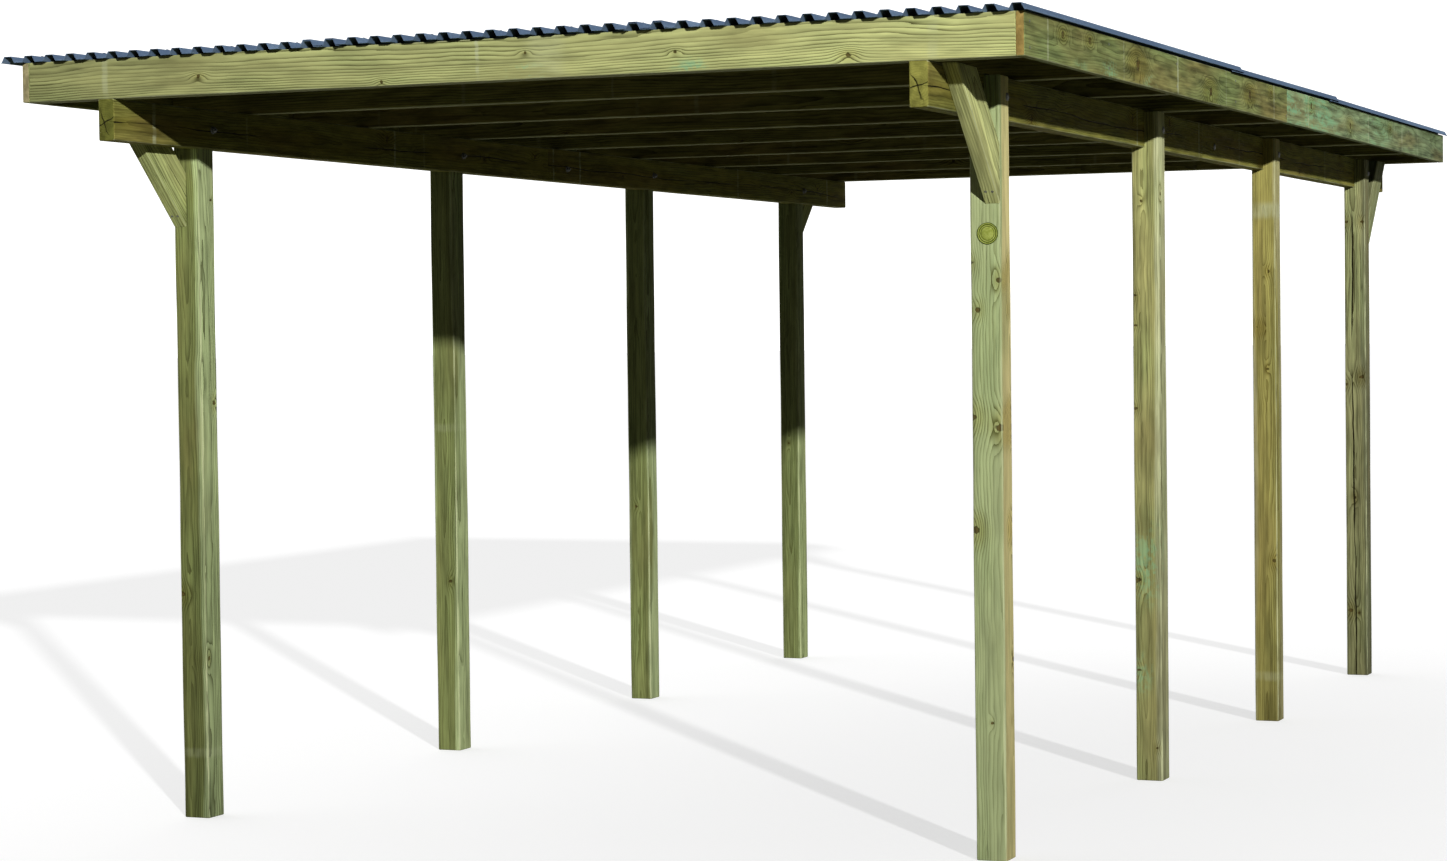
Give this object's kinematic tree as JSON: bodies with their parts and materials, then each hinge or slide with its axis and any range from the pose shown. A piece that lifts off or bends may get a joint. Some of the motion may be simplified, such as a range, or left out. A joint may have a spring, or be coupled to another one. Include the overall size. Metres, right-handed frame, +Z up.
{
  "type": "timber carport",
  "caption": "Open flat-roofed timber carport: notched square posts carry beams, rafters, edge boards and dark trapezoid roof sheets over one parking bay.",
  "frame": {"origin": "on the ground, under the middle of the roof", "axes": "+Z up, +Y from the front to the back along the parking bay, +X to the right seen from the front"},
  "size_m": [3.246, 6.3301, 2.3848],
  "materials": {
    "treated_pine": "planed, pressure treated, weathered green",
    "roof_sheet": "smooth dark grey sheet, half gloss"
  },
  "bodies": {
    "root": {"eighth_rafter": "treated_pine", "fourth_rafter": "treated_pine", "front_edge_board": "treated_pine", "front_left_beam": "treated_pine", "front_left_brace": "treated_pine", "front_left_post": "treated_pine", "front_left_roof_sheet": "roof_sheet", "front_left_side_board": "treated_pine", "front_middle_roof_sheet": "roof_sheet", "front_rafter": "treated_pine", "front_right_beam": "treated_pine", "front_right_brace": "treated_pine", "front_right_post": "treated_pine", "front_right_roof_sheet": "roof_sheet", "front_right_side_board": "treated_pine", "middle_left_roof_sheet": "roof_sheet", "middle_middle_roof_sheet": "roof_sheet", "middle_rafter": "treated_pine", "middle_right_roof_sheet": "roof_sheet", "rear_edge_board": "treated_pine", "rear_left_beam": "treated_pine", "rear_left_brace": "treated_pine", "rear_left_post": "treated_pine", "rear_left_roof_sheet": "roof_sheet", "rear_left_side_board": "treated_pine", "rear_middle_roof_sheet": "roof_sheet", "rear_rafter": "treated_pine", "rear_right_beam": "treated_pine", "rear_right_brace": "treated_pine", "rear_right_post": "treated_pine", "rear_right_roof_sheet": "roof_sheet", "rear_right_side_board": "treated_pine", "second_left_post": "treated_pine", "second_rafter": "treated_pine", "second_right_post": "treated_pine", "seventh_rafter": "treated_pine", "sixth_rafter": "treated_pine", "third_left_post": "treated_pine", "third_rafter": "treated_pine", "third_right_post": "treated_pine"}
  },
  "joints": []
}
